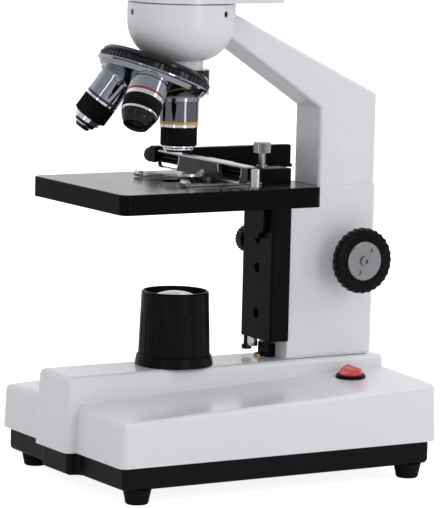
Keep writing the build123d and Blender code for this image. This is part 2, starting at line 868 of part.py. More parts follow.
def objective_kinds():
    """The three objectives as sizes, by their places on the turret."""
    mid = (barrel_radius_mid, band_start_mid, grip_start_mid, grip_length_mid, sleeve_radius_mid,
           tip_length_mid, tip_radius_mid)
    low = (barrel_radius_low, band_start_low, grip_start_low, grip_length_low, sleeve_radius_low,
           tip_length_low, tip_radius_low)
    high = (barrel_radius_high, band_start_high, grip_start_high, grip_length_high, sleeve_radius_high,
            tip_length_high, tip_radius_high)
    return [("10x", mid), ("4x", low), ("40x", high)]


def objective_nodes():
    found = {}
    sleeves = []
    lenses = []
    for angle, (name, kind) in zip(objective_angles(), objective_kinds()):
        barrel, band, sleeve, lens = [about_turret(piece, angle) for piece in objective(kind)]
        found["objective_" + name + "_barrel"] = barrel
        found["objective_" + name + "_band"] = band
        sleeves.append(sleeve)
        lenses.append(lens)
    found["objective_sleeves"] = Compound(children=sleeves)
    found["objective_front_lenses"] = Compound(children=lenses)
    return found


def head_dovetail():
    """The ring under the digital head that turns in the bowl and carries the tube lens."""
    high = seam_z + seam_gap
    return Pos(0, axis_y, 0) * turned([
        (light_bore_radius, seam_z - dovetail_drop), (dovetail_radius, seam_z - dovetail_drop),
        (dovetail_radius - 1.2, seam_z - set_screw_drop), (dovetail_radius, seam_z - 2), (dovetail_radius, high),
        (light_bore_radius, high)])


def head_outline(inset):
    """The side view of the digital head."""
    low = seam_z + seam_gap + inset
    front = axis_y - head_front_radius + inset
    back = head_back_y - inset
    slope = tan(radians(screen_tilt))
    drop = inset / cos(radians(screen_tilt)) - inset * slope
    back_z = seam_z + seam_gap + head_back_height - drop
    top_z = seam_z + seam_gap + head_front_height - inset
    top_y = back - (top_z - back_z) / slope
    return [(front, low), (back, low), (back, back_z), (top_y, top_z), (front, top_z)]


def head_plan(inset):
    """The plan of the digital head: round in front, square at the back."""
    radius = head_front_radius - inset
    back = head_back_y - inset
    length = back - axis_y
    return Pos(0, axis_y) * Circle(radius) + Pos(0, axis_y + length / 2) * Rectangle(2 * radius, length)


def head_housing():
    low = seam_z + seam_gap
    wide = extrude(Pos(0, 0, low) * head_plan(0), 2 * head_front_height)
    back_edges = wide.edges().filter_by(Axis.Z).sort_by(Axis.Y)[-2:]
    wide = fillet(back_edges, head_edge_radius)
    body = wide & plate_yz(head_outline(0), 2 * head_front_radius)
    top = body.faces().sort_by(Axis.Z)[-1]
    body = fillet(top.edges(), head_edge_radius)
    inner = extrude(Pos(0, 0, low + head_wall) * head_plan(head_wall), 2 * head_front_height)
    inner = inner & plate_yz(head_outline(head_wall), 2 * head_front_radius)
    return body - inner - post(light_bore_radius, low - 1, low + 2 * head_wall, 0, axis_y)


def screen_place():
    """The frame of the head's sloping face, its origin at the middle of the screen."""
    slope = radians(screen_tilt)
    back_z = seam_z + seam_gap + head_back_height
    reach = screen_height / 2 - 2 * head_wall
    centre = (0, head_back_y - reach * cos(slope), back_z + reach * sin(slope))
    return Plane(origin=centre, x_dir=(1, 0, 0), z_dir=(0, sin(slope), cos(slope)))


def screen_frame():
    frame = extrude(RectangleRounded(screen_width, screen_height, screen_corner_radius), screen_thickness)
    frame = fillet(frame.faces().sort_by(Axis.Z)[-1].edges(), 1.6)
    pocket = Pos(0, 0, screen_thickness - glass_thickness) * extrude(Rectangle(glass_width, glass_height), 5)
    space_x = screen_width - 4 * head_wall
    space = Pos(0, 0, head_wall) * extrude(Rectangle(space_x, glass_height - 2 * head_wall), screen_thickness
                                           - glass_thickness - 2 * head_wall)
    return screen_place().location * (frame - pocket - space)


def screen_glass():
    glass = Pos(0, 0, screen_thickness - glass_thickness) * extrude(
        Rectangle(glass_width - 2 * running_gap, glass_height - 2 * running_gap), glass_thickness - 0.2)
    return screen_place().location * glass


def guide_plan(offset):
    """One V groove in plan, at a given distance outside the tongue's side."""
    side = tongue_half_width + offset
    return [(side, groove_y - groove_half_height), (side - groove_depth, groove_y),
            (side, groove_y + groove_half_height)]


def carriage_plate():
    """The black face plate of the carriage, bored for its three screws."""
    plan = Pos(0, (carriage_front_y + carriage_back_y) / 2) * Rectangle(
        2 * carriage_half_width, carriage_back_y - carriage_front_y)
    body = extrude(Pos(0, 0, carriage_bottom_z) * plan, carriage_top_z - carriage_bottom_z)
    front = body.edges().filter_by(Axis.Z).sort_by(Axis.Y)[:2]
    body = fillet(front, carriage_corner_radius)
    for z in face_hole_heights():
        body -= Pos(0, carriage_front_y, z) * Rot(90, 0, 0) * Cylinder(face_hole_radius, 2 * face_hole_depth)
    limit = post(limit_screw_radius, carriage_bottom_z - 1, carriage_bottom_z + limit_screw_length / 2,
                 limit_screw_x, limit_screw_y)
    lock = spindle(lock_stem_radius, -carriage_half_width - 1, lock_stem_depth - carriage_half_width,
                   lock_knob_y, lock_knob_z)
    return body - limit - lock


def face_hole_heights():
    return [carriage_top_z - drop for drop in (face_hole_drop_1, face_hole_drop_2, face_hole_drop_3)]


def carriage_screws():
    """Cap screws sunk in the face plate."""
    screws = []
    bottom = carriage_front_y + face_hole_depth
    for z in face_hole_heights():
        head = Pos(0, bottom, z) * Rot(90, 0, 0) * extrude(
            Circle(face_screw_radius) - RegularPolygon(face_screw_radius / 2, 6), 1.6)
        screws.append(head)
    return Compound(children=screws)


def carriage_tongue():
    """The sliding tongue behind the plate, grooved on both sides for the guide rails."""
    half = tongue_half_width
    back = rack_pitch_y - rack_back
    right = [(half, carriage_back_y), *guide_plan(0), (half, back)]
    left = [(-x, y) for x, y in reversed(right)]
    plan = make_face(Polyline(*right, *left, close=True))
    z0 = carriage_bottom_z + tongue_bottom_inset
    z1 = carriage_top_z - tongue_top_inset
    return extrude(Pos(0, 0, z0) * plan, z1 - z0)


def guide_rails():
    """Two V rails on the column's inner walls, and the stop under the carriage."""
    inner = column_half_width - column_wall
    z1 = column_top_z - rail_margin
    side = tongue_half_width + slide_gap
    nose = guide_plan(slide_gap)
    plan = [(inner, nose[0][1] - rail_ends), (side, nose[0][1] - rail_ends), *nose,
            (side, nose[2][1] + rail_ends), (inner, nose[2][1] + rail_ends)]
    rail = extrude(Pos(0, 0, rail_bottom_z) * make_face(Polyline(*plan, close=True)), z1 - rail_bottom_z)
    half = stop_block_width / 2
    stop = block(stop_block_x - half, stop_block_x + half, column_front_y - stop_block_depth, column_front_y,
                 ridge_z, ridge_z + stop_block_height)
    return Compound(children=[rail, mirror(rail, Plane.YZ), stop])


def rack_tooth_plan(centre_z):
    """One rack tooth in (y, z), 20 degree flanks about the pitch line."""
    pitch = pi * gear_module
    half = pitch * tooth_share / 2
    lean = tan(radians(20)) * gear_module
    tip = rack_pitch_y + gear_module
    root = rack_pitch_y - 1.25 * gear_module
    return [(root, centre_z - half - 1.25 * lean), (tip, centre_z - half + lean),
            (tip, centre_z + half - lean), (root, centre_z + half + 1.25 * lean)]


def focus_rack():
    """A toothed rack on the tongue's back, one tooth level with the pinion's axis."""
    pitch = pi * gear_module
    count = int(rack_length / pitch / 2)
    root = rack_pitch_y - 1.25 * gear_module
    back = rack_pitch_y - rack_back
    low = focus_z - (count + 0.5) * pitch
    outline = [(back, low), (root, low)]
    for step in range(-count, count + 1):
        outline += rack_tooth_plan(focus_z + step * pitch)
    high = focus_z + (count + 0.5) * pitch
    outline += [(root, high), (back, high)]
    return plate_yz(outline, rack_width / 2)


def involute_flank(base, tip, points):
    """Points of an involute of the base circle, out to the tip radius."""
    last = sqrt((tip / base) ** 2 - 1)
    flank = []
    for step in range(points):
        roll = last * step / (points - 1)
        radius = base * sqrt(1 + roll * roll)
        flank.append((radius, roll - atan(roll)))
    return flank


def pinion_plan():
    """The pinion's outline: involute flanks, with a gap facing the rack."""
    base = pinion_radius * cos(radians(20))
    tip = pinion_radius + gear_module
    root = pinion_radius - 1.25 * gear_module
    flank = involute_flank(base, tip, 4)
    turn_at_pitch = tan(radians(20)) - radians(20)
    half = pi * tooth_share / pinion_teeth + turn_at_pitch
    outline = []
    for tooth in range(pinion_teeth):
        centre = pi + 2 * pi * (tooth + 0.5) / pinion_teeth
        rising = [(r, centre - half + turn) for r, turn in flank]
        falling = [(r, centre + half - turn) for r, turn in reversed(flank)]
        polar = [(root, centre - half), *rising, *falling, (root, centre + half)]
        outline += [(focus_y + r * cos(a), focus_z + r * sin(a)) for r, a in polar]
    return outline


def pinion_shaft():
    """The focusing shaft with its pinion."""
    pinion = plate_yz(pinion_plan(), pinion_width / 2)
    end = knob_inner_x + knob_width - cap_recess
    return pinion + spindle(shaft_radius, -end, end, focus_y, focus_z)


def focus_bushes():
    """Chromed bushes in both walls of the column."""
    x0 = column_half_width - column_wall - bush_inner_length
    x1 = column_half_width
    bush = spindle(bush_spigot_radius, x0, x1, focus_y, focus_z)
    collar = spindle(bush_radius, x1, x1 + bush_length, focus_y, focus_z)
    collar = chamfer(collar.faces().sort_by(Axis.X)[-1].edges(), 0.5)
    bush = bush + collar - spindle(shaft_radius + running_gap, 0, 2 * x1 + bush_length, focus_y, focus_z)
    return both_sides(bush)


def focus_knobs():
    """The two fluted focusing knobs."""
    knob = extrude(Circle(knob_radius), knob_width)
    knob = fillet(knob.edges(), 1.2)
    reach = knob_radius + knob_flute_radius - knob_flute_depth
    flute = Cylinder(knob_flute_radius, 4 * knob_width)
    for step in range(knob_flutes):
        knob -= Rot(0, 0, 360 * (step + 0.5) / knob_flutes) * Pos(reach, 0, 0) * flute
    knob -= Pos(0, 0, knob_width - cap_recess) * extrude(Circle(cap_radius + running_gap), 2 * cap_recess)
    knob -= Cylinder(shaft_radius, 4 * knob_width)
    dish = turned([(bush_radius + 1, 0), (knob_radius - 3.5, 0), (knob_radius - 4, 1.4), (bush_radius + 1, 1.4)])
    knob -= dish
    return both_sides(Pos(knob_inner_x, focus_y, focus_z) * Rot(0, 90, 0) * knob)


def knob_caps():
    """Metal discs on the knobs, each with two spanner dimples and a socket screw."""
    cap = extrude(Circle(cap_radius), cap_thickness)
    cap = chamfer(cap.faces().sort_by(Axis.Z)[-1].edges(), 0.5)
    for side in (-1, 1):
        cap -= Pos(side * dimple_circle, 0, cap_thickness) * Cylinder(dimple_radius, 2 * dimple_depth)
    screw = Pos(0, 0, cap_thickness) * extrude(Circle(cap_screw_radius), cap_screw_height)
    screw -= Pos(0, 0, cap_thickness) * extrude(RegularPolygon(cap_screw_radius / 2, 6), 2 * cap_screw_height)
    body = Rot(0, 0, -30) * (cap + screw)
    x = knob_inner_x + knob_width - cap_recess
    return both_sides(Pos(x, focus_y, focus_z) * Rot(0, 90, 0) * body)


def lock_knob():
    """The carriage's lock knob, on its far side."""
    x1 = -carriage_half_width - panel_gap
    knob = Pos(x1, lock_knob_y, lock_knob_z) * Rot(0, -90, 0) * fluted(lock_knob_radius, 0.6, 24, lock_knob_width)
    stem_end = lock_stem_depth - carriage_half_width - panel_gap
    return knob + spindle(lock_stem_radius - running_gap, x1 - 1, stem_end, lock_knob_y, lock_knob_z)


def limit_screw():
    """The screw under the carriage that stops it just above the base."""
    z1 = carriage_bottom_z
    low = z1 - limit_screw_length
    head = post(limit_head_radius, low, low + limit_head_height, limit_screw_x, limit_screw_y)
    return head + post(limit_screw_radius, low, z1 + limit_screw_length / 2, limit_screw_x, limit_screw_y)


def stage_plan(inset, back_y):
    front = stage_front_y + inset
    radius = stage_corner_radius - inset / 2
    return Pos(0, (front + back_y) / 2) * RectangleRounded(
        2 * (stage_half_width - inset), back_y - front, radius)


def stage_plate():
    """The stage: a plate with a skirt, hollow under its front, bored for the light."""
    body = extrude(Pos(0, 0, stage_bottom_z) * stage_plan(0, stage_back_y), stage_thickness)
    body = chamfer(body.faces().sort_by(Axis.Z)[-1].edges(), 0.5)
    depth = stage_thickness - stage_skin
    space = extrude(Pos(0, 0, stage_bottom_z - 1) * stage_plan(stage_wall, stage_cavity_back_y), depth + 1)
    light = post(aperture_radius, stage_bottom_z, stage_top_z + 1, 0, axis_y)
    body = body - space - light
    for x in (-clip_x, clip_x):
        body -= post(clip_screw_radius, stage_top_z - 5, stage_top_z + 1, x, clip_post_y)
    body -= post(clamp_shaft_radius, stage_top_z - 5, stage_top_z + 1, clamp_screw_x, clamp_screw_y)
    body -= post(disc_pivot_radius, stage_top_z - stage_skin - 1, stage_top_z - 1, disc_offset, axis_y)
    return body


def condenser():
    """The fixed condenser lens in its ring, against the underside of the stage."""
    high = stage_top_z - stage_skin
    low = high - condenser_thickness
    ring = post(condenser_radius, low, high, 0, axis_y)
    dome = Pos(0, axis_y, high - 1.2) * Sphere(condenser_lens_radius) & post(condenser_lens_radius, high - 1.2,
                                                                           high + 1.8, 0, axis_y)
    return ring + dome


def stage_bracket():
    """The bracket that ties the stage to the carriage, and the nut on its face."""
    y1 = carriage_front_y
    y0 = y1 - bracket_thickness
    half = bracket_half_width
    face = block(-half, half, y0, y1, stage_bottom_z - bracket_drop, stage_bottom_z)
    low = face.edges().filter_by(Axis.Y).sort_by(Axis.Z)[:2]
    face = fillet(low, bracket_corner_radius)
    flange = block(-half, half, stage_cavity_back_y + 1, y0, stage_bottom_z - bracket_thickness, stage_bottom_z)
    nut_z = stage_bottom_z - bracket_drop
    nut = block(-stop_nut_half_width, stop_nut_half_width, y0, y1, nut_z - stop_nut_height, nut_z)
    return face + flange + nut


def diaphragm_disc():
    """The disc diaphragm: a turning plate with holes of growing size."""
    high = stage_top_z - stage_skin - disc_drop + disc_thickness
    low = high - disc_thickness
    disc = post(disc_radius, low, high, disc_offset, axis_y)
    for step in range(disc_holes):
        angle = radians(180 + 360 * step / disc_holes)
        x = disc_offset + disc_offset * cos(angle)
        y = axis_y + disc_offset * sin(angle)
        disc -= post(disc_hole_radius + disc_hole_growth * (disc_holes - 1 - step), low - 1, high + 1, x, y)
    return disc - post(disc_pivot_radius + running_gap, low - 1, high + 1, disc_offset, axis_y)


def stage_screws():
    """The clip screws on the stage and the diaphragm's pivot under it."""
    screws = []
    eye_top = stage_top_z + clip_lift + clip_thickness + panel_gap
    for x in (-clip_x, clip_x):
        head = post(clip_head_radius, eye_top, eye_top + clip_head_height, x, clip_post_y)
        head = chamfer(head.faces().sort_by(Axis.Z)[-1].edges(), 0.4)
        screws.append(head + post(clip_screw_radius, stage_top_z - 5, eye_top, x, clip_post_y))
    disc_low = stage_top_z - stage_skin - disc_drop - panel_gap
    head = post(disc_pivot_head_radius, disc_low - 1.4, disc_low, disc_offset, axis_y)
    screws.append(head + post(disc_pivot_radius, disc_low, stage_top_z - 1, disc_offset, axis_y))
    return Compound(children=screws)


def stage_clip(side):
    """A spring clip: an eye on its screw, a flat arm and a rolled tip."""
    low = stage_top_z + clip_lift
    high = low + clip_thickness
    x = side * clip_x
    tip_y = clip_post_y - clip_length
    arm = block(x - clip_half_width, x + clip_half_width, tip_y, clip_post_y, low, high)
    roll_z = low + clip_tip_radius
    tip = spindle(clip_tip_radius, x - clip_half_width, x + clip_half_width, tip_y, roll_z)
    tip -= spindle(clip_tip_radius - clip_thickness, x - 2 * clip_half_width, x + 2 * clip_half_width, tip_y, roll_z)
    eye = post(clip_eye_radius, low, high, x, clip_post_y)
    hole = post(clip_screw_radius + running_gap, low - 1, high + 1, x, clip_post_y)
    return arm + eye + tip - hole


def stage_guide():
    """The mechanical stage's base: a plate, a clamp block and a channel for the long bar."""
    plate = block(bar_x - bar_half_width - bar_foot_width - slide_gap - guide_wall - 2 * y_pinion_radius,
                  clamp_block_x + clamp_block_width, guide_front_y, guide_back_y, stage_top_z, guide_top_z)
    clamp = block(clamp_block_x, clamp_block_x + clamp_block_width, guide_front_y, guide_back_y,
                  stage_top_z, stage_top_z + clamp_block_height)
    clamp = chamfer(clamp.faces().sort_by(Axis.Z)[-1].edges(), 0.6)
    near = bar_x + bar_half_width + bar_foot_width + slide_gap
    near_wall = block(near, near + guide_wall, guide_front_y, guide_back_y, stage_top_z, stage_top_z + guide_wall_height)
    lip_z = guide_top_z + bar_foot_height + 2 * slide_gap
    lip = block(near - bar_foot_width, near, guide_front_y, guide_back_y, lip_z, stage_top_z + guide_wall_height)
    far = bar_x - bar_half_width - bar_foot_width - slide_gap - 2 * y_pinion_radius
    far_wall = block(far - guide_wall, far, guide_front_y, guide_back_y, stage_top_z, pinion_axis_z() + y_pinion_radius)
    body = plate + clamp + near_wall + lip + far_wall
    hole = spindle(y_shaft_radius + running_gap, far - 2 * guide_wall, far + guide_wall, y_drive_y, pinion_axis_z())
    return body - hole - post(clamp_shaft_radius, 0, stage_top_z + 2 * clamp_block_height, clamp_screw_x, clamp_screw_y)


def pinion_axis_z():
    """The height of the mechanical stage's fore-and-aft pinion, above the bar's foot."""
    return guide_top_z + slide_gap + bar_foot_height + y_pinion_radius + panel_gap


def clamp_screw():
    """The knurled thumbscrew that clamps the mechanical stage to the plate."""
    z0 = stage_top_z + clamp_block_height
    head_z = z0 + clamp_shaft_height
    head = fluted(clamp_head_radius, 0.45, 30, clamp_head_height)
    stem = post(clamp_shaft_radius, stage_top_z - 5, head_z, clamp_screw_x, clamp_screw_y)
    collar = post(clamp_shaft_radius + 1.2, z0, z0 + 1.4, clamp_screw_x, clamp_screw_y)
    return Pos(clamp_screw_x, clamp_screw_y, head_z) * head + stem + collar


def cross_bar():
    """The long bar of the mechanical stage, with a foot that the channel holds down."""
    z0 = guide_top_z + slide_gap
    x0 = bar_x - bar_half_width
    x1 = bar_x + bar_half_width
    web = block(x0, x1, cross_back_y, bar_back_y, z0, bar_top_z)
    web = chamfer(web.faces().sort_by(Axis.Z)[-1].edges(), 0.4)
    foot = block(x0 - bar_foot_width - 2 * y_pinion_radius + 1, x1 + bar_foot_width, guide_front_y - bar_foot_lead, bar_back_y,
                 z0, z0 + bar_foot_height)
    return web + foot


def cross_rail():
    """The cross rail that carries the slide holder, with a bearing at each end."""
    z0 = stage_top_z + cross_bottom_lift
    z1 = cross_top_z
    front = cross_back_y - cross_thickness
    rail = block(cross_far_x, cross_near_x - post_radius, front, cross_back_y, z0, z1)
    lip_front = front - holder_thickness - slide_gap
    bearing_x = cross_far_x + x_bearing_length
    bearing = block(cross_far_x, bearing_x, lip_front, cross_back_y, z0, z1 + 3.0)
    bearing = chamfer(bearing.faces().sort_by(Axis.Z)[-1].edges(), 0.5)
    hole = spindle(x_screw_radius + running_gap, cross_far_x - 1, bearing_x + 1, x_screw_y(), x_screw_z())
    groove = block(cross_far_x + x_bearing_length, cross_near_x, front - 1, front + 2 * x_screw_radius + 1.2,
                   x_screw_z() - x_screw_radius - 0.6, x_screw_z() + x_screw_radius + 0.6)
    return rail - groove + bearing - hole


def x_screw_y():
    return cross_back_y - cross_thickness + x_screw_radius + 0.6


def x_screw_z():
    return (stage_top_z + cross_bottom_lift + cross_top_z) / 2


def end_post():
    """The knurled post that closes the near end of the cross rail."""
    z0 = cross_top_z - post_height
    y = cross_back_y - cross_thickness + post_radius
    body = Pos(cross_near_x, y, z0) * fluted(post_radius, 0.25, 18, post_height)
    bridge = block(cross_near_x - post_radius, cross_near_x, cross_back_y - cross_thickness + 0.4, cross_back_y - 0.4,
                   z0 + 3, cross_top_z - 1)
    return body + bridge


def x_knob():
    """The knob and lead screw that drive the slide holder along the cross rail."""
    x1 = cross_far_x - panel_gap
    knob = Pos(x1, x_screw_y(), x_screw_z()) * Rot(0, -90, 0) * fluted(x_knob_radius, 0.4, 22, x_knob_width)
    return knob + spindle(x_screw_radius, x1 - 1, cross_near_x - 2 * post_radius, x_screw_y(), x_screw_z())


def holder_places():
    """The lower, upper, front and back limits of the slide holder."""
    back = cross_back_y - cross_thickness - slide_gap
    return stage_top_z + holder_lift, cross_top_z + slide_gap, back - holder_thickness, back


def slide_holder():
    """The slide holder: a plate scooped out at both ends, hooked over the cross rail."""
    low, high, front, back = holder_places()
    far = holder_far_x + x_bearing_length + panel_gap
    plate = block(far, holder_near_x, front, back, low, high)
    for x in (scoop_far_x, scoop_near_x):
        scoop = Pos(x, (front + back) / 2, high) * Rot(90, 0, 0) * Cylinder(scoop_radius, 4 * holder_thickness)
        flat = block(x - 2 * scoop_radius, x + 2 * scoop_radius, front - 1, back + 1,
                     low - 2 * scoop_radius, high - scoop_depth)
        plate -= scoop - flat
    corners = plate.edges().filter_by(Axis.Y).sort_by(Axis.Z)
    outer = [e for e in corners if abs(e.center().Z - low) < 0.01]
    plate = fillet(outer, 2.4)
    bottom = post(finger_pin_radius + running_gap, 0, stage_top_z + cross_top_z, finger_x, finger_pivot_y())
    arm = block(finger_x - 4, finger_x + 4, finger_pivot_y() - 3.2, front, low, low + 1.8)
    return plate + arm - bottom


def finger_pivot_y():
    return cross_back_y - cross_thickness - slide_gap - holder_thickness - 4


def scale_strip():
    """The polished scale strip on top of the holder, with a hook behind the rail."""
    low, high, front, back = holder_places()
    far = holder_far_x + x_bearing_length + panel_gap
    top = block(far, holder_near_x, front, cross_back_y - slide_gap, high, high + scale_thickness)
    hook_y = cross_back_y + slide_gap
    bridge = block(hook_far_x, hook_near_x, front, hook_y + hook_thickness, high, high + scale_thickness)
    hook = block(hook_far_x, hook_near_x, hook_y, hook_y + hook_thickness, high - holder_hook_depth, high)
    return top + bridge + hook


def slide_finger():
    """The curved finger that presses a slide against the holder."""
    low, high, front, back = holder_places()
    z0 = low + 1.8 + panel_gap
    z1 = z0 + finger_thickness
    pivot_y = finger_pivot_y()
    eye = post(finger_half_width + 0.8, z0, z1, finger_x, pivot_y)
    outer = finger_length / 2 + finger_half_width / 2
    inner = outer - finger_half_width
    centre_y = pivot_y - finger_length / 2
    ring = post(outer, z0, z1, finger_x, centre_y) - post(inner, z0 - 1, z1 + 1, finger_x, centre_y)
    ring &= block(finger_x, finger_x + 2 * outer, centre_y - 2 * outer, centre_y + 2 * outer, z0, z1)
    pin = post(finger_pin_radius, low, z1 + 1.2, finger_x, pivot_y)
    return eye + ring + pin


def y_knob():
    """The fore-and-aft knob with its pinion, on the far side of the channel."""
    far = bar_x - bar_half_width - bar_foot_width - slide_gap - 2 * y_pinion_radius
    z = pinion_axis_z()
    pinion = Pos(far + panel_gap, y_drive_y, z) * Rot(0, 90, 0) * fluted(y_pinion_radius, 0.5, 14, 4.2)
    stem = spindle(y_shaft_radius, far - guide_wall - 1, far + panel_gap + 1, y_drive_y, z)
    knob_x = far - guide_wall - panel_gap
    knob = Pos(knob_x, y_drive_y, z) * Rot(0, -90, 0) * fluted(y_knob_radius, 0.4, 22, y_knob_width)
    return pinion + stem + knob


def all_nodes():
    """Every piece of the microscope by its node name."""
    nodes = {
        "base_cover": base_cover(),
        "base_tray": base_tray(),
        "rubber_feet": rubber_feet(),
        "foot_screws": foot_screws(),
        "power_board": power_board(),
        "power_inlet": power_inlet(),
        "switch_body": switch_body(),
        "rocker": rocker(),
        "lamp_flange": on_axis(lamp_flange()),
        "lamp_cup": on_axis(lamp_cup()),
        "collector_lens": on_axis(collector_lens()),
        "led_module": on_axis(led_module()),
        "column_housing": column_housing(),
        "guide_rails": guide_rails(),
        "focus_bushes": focus_bushes(),
        "arm_casting": arm_casting(),
        "head_bowl": head_bowl(),
        "head_set_screws": head_set_screws(),
        "nosepiece_base": nosepiece_base(),
        "turret_pivot": turret_pivot(),
        "turret_shell": turret_shell(),
        "turret_grip": turret_grip(),
        "head_dovetail": head_dovetail(),
        "head_housing": head_housing(),
        "screen_frame": screen_frame(),
        "screen_glass": screen_glass(),
        "carriage_plate": carriage_plate(),
        "carriage_screws": carriage_screws(),
        "carriage_tongue": carriage_tongue(),
        "focus_rack": focus_rack(),
        "pinion_shaft": pinion_shaft(),
        "focus_knobs": focus_knobs(),
        "knob_caps": knob_caps(),
        "lock_knob": lock_knob(),
        "limit_screw": limit_screw(),
        "stage_plate": stage_plate(),
        "stage_bracket": stage_bracket(),
        "condenser": condenser(),
        "diaphragm_disc": diaphragm_disc(),
        "stage_screws": stage_screws(),
        "stage_clip_near": stage_clip(1),
        "stage_clip_far": stage_clip(-1),
        "stage_guide": stage_guide(),
        "clamp_screw": clamp_screw(),
        "cross_bar": cross_bar(),
        "cross_rail": cross_rail(),
        "end_post": end_post(),
        "x_knob": x_knob(),
        "y_knob": y_knob(),
        "slide_holder": slide_holder(),
        "scale_strip": scale_strip(),
        "slide_finger": slide_finger(),
    }
    nodes.update(objective_nodes())
    return nodes


def on_axis(body):
    return Pos(0, axis_y, 0) * body


os.makedirs("parts", exist_ok=True)
for name, body in all_nodes().items():
    export_step(body, "parts/" + name + ".step")
    print(name, len(body.solids()), round(body.volume))
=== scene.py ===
import bpy
import bmesh
import math
from mathutils import Matrix, Vector


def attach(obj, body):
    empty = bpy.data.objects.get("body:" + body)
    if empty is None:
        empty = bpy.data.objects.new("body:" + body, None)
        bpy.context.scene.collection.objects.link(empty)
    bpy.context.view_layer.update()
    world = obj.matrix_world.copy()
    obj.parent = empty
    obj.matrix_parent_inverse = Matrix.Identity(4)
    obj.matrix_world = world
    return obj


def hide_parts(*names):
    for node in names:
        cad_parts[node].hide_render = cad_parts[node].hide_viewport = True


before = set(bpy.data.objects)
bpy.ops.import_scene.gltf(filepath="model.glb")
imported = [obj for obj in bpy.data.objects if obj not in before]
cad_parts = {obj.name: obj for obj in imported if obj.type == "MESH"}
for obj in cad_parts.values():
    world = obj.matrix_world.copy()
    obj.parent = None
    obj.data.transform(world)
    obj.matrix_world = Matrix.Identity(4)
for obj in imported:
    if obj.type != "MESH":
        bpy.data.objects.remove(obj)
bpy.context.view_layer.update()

MM = 0.001

# The camera, fitted to the photograph
PHOTO_WIDTH = 440
PHOTO_HEIGHT = 508
FOCAL_PX = 3222.53
AZIMUTH = math.radians(58.86)
ELEVATION = math.radians(7.42)
ROLL = math.radians(1.38)
DISTANCE = 1.9178
TARGET = Vector((0.0001, 0.00354, 0.1349))
CENTRE_U = 223.53
CENTRE_V = 247.84
SENSOR = 36.0
CLIP_START = 0.05
CLIP_END = 20.0

# The studio: a pale floor, a world that is brighter behind the object, and area lights
WHITE = (1, 1, 1, 1)
FLOOR_HALF = 6.0
FLOOR_COLOUR = (0.76, 0.76, 0.77, 1)
FLOOR_ROUGH = 0.8
FLOOR_LEVEL = 0.1
FLOOR_GLOW = 0.05
FLOOR_SEEN = 0.88
WORLD_TINT = (0.98, 0.985, 1, 1)
BACK_WAY = (-0.84, 0.52, 0.15)
BACK_FROM = -0.25
BACK_TO = 0.75
WORLD_FRONT = 0.54
WORLD_BACK = 0.95
BODY_AIM = (0, 0, 0.16)
LIGHTS = (
    # name, place, aim, width and height, power
    ("front_box", (0.80, -1.30, 0.35), BODY_AIM, (0.09, 1.0), 1.1),
    ("side_box", (1.65, 0.15, 0.35), BODY_AIM, (0.32, 1.0), 3.6),
    ("top_box", (0.15, 0.1, 1.7), (0, 0, 0.1), (1.2, 1.2), 3.0),
    ("rear_box", (1.0, 1.3, 1.2), (0.05, 0, 0.05), (0.8, 0.8), 5.0),
    ("back_box", (-0.9, 1.2, 1.3), (0, 0, 0.2), (1.2, 0.8), 2.0),
)

# The mottling, grain and relief that every material has
MOTTLE_SCALE = 45.0
MOTTLE_DETAIL = 5.0
MOTTLE_LOW = 0.3
MOTTLE_HIGH = 0.7
GRAIN_DETAIL = 3.0
RELIEF_DEPTH = 0.0004
LEAST_ROUGH = 0.02
# Up from this normal Z a face counts as a top; the faces below it get the lower specular level, a painted shade
PAINTED_SHADE_UP_FROM = 0.7

# How every added mesh is finished
MERGE_DISTANCE = 1e-7
SHARP_ANGLE = math.radians(35)

# The turret and what its objectives share, in millimetres as in the part's source
AXIS_Y = -29.0
TURRET_TILT = math.radians(20.5)
RIM_Z = 232.0
RIM_OFFSET = 19.4
SEAT_Z = 223.6
BORE = 3.2
BORE_DEPTH = 4
THREAD_RADIUS = 9.6
THREAD_LENGTH = 2.0
BAND = 1.6
BAND_CROWN = 0.1
SLEEVE_WALL = 1.8
LENS_RADIUS = 2.4
LENS_GAP = 0.1
LENS_RECESS = 0.8
LENS_BACK = 0.5
LENS_RIM = 0.3
LENS_SHOULDER = 0.6
LENS_CROWN = 0.7
FRONT_LIP = 0.5
NEAR_TURN = 240
FAR_TURN = 120
TURNS = 96
STEPS_PER_FLUTE = 4
SLEEVE_FLUTES = 60
SLEEVE_FLUTE_DEPTH = 0.28
EDGE = 0.3

# Material slots of an objective, and the two kinds of ring in a fluted outline. PLAIN is also the slot of a
# piece that has one material.
BARREL, BANDED, RING, FRONT = 0, 1, 2, 3
PLAIN, FLUTED = 0, 1

# The metal fronts below the sleeves: radius, depth and slot down to the lens recess
LOW_FRONT = ((10.9, 0, RING), (10.9, 0.9, RING), (10.5, 1.2, FRONT), (10.3, 2.4, FRONT), (9.9, 2.7, FRONT),
             (9.0, 5.4, FRONT), (8.7, 5.6, FRONT), (7.6, 8.1, FRONT), (7.1, 8.6, FRONT), (5.4, 8.6, FRONT),
             (5.0, 8.0, FRONT))
MID_FRONT = ((10.1, 0, RING), (10.1, 0.9, RING), (9.8, 1.1, FRONT), (9.1, 1.1, FRONT), (9.0, 1.4, RING),
             (9.0, 2.3, RING), (8.7, 2.6, FRONT), (7.7, 3.0, FRONT), (7.2, 3.8, FRONT), (4.8, 3.8, FRONT),
             (4.4, 3.4, FRONT))
HIGH_FRONT = ((9.2, 0, FRONT), (9.2, 0.6, FRONT), (8.2, 0.9, RING), (8.1, 3.2, RING), (7.8, 3.5, RING),
              (6.7, 3.6, FRONT), (6.6, 5.4, RING), (6.3, 5.8, RING), (5.0, 6.4, FRONT), (4.4, 8.0, FRONT),
              (3.9, 8.4, FRONT))

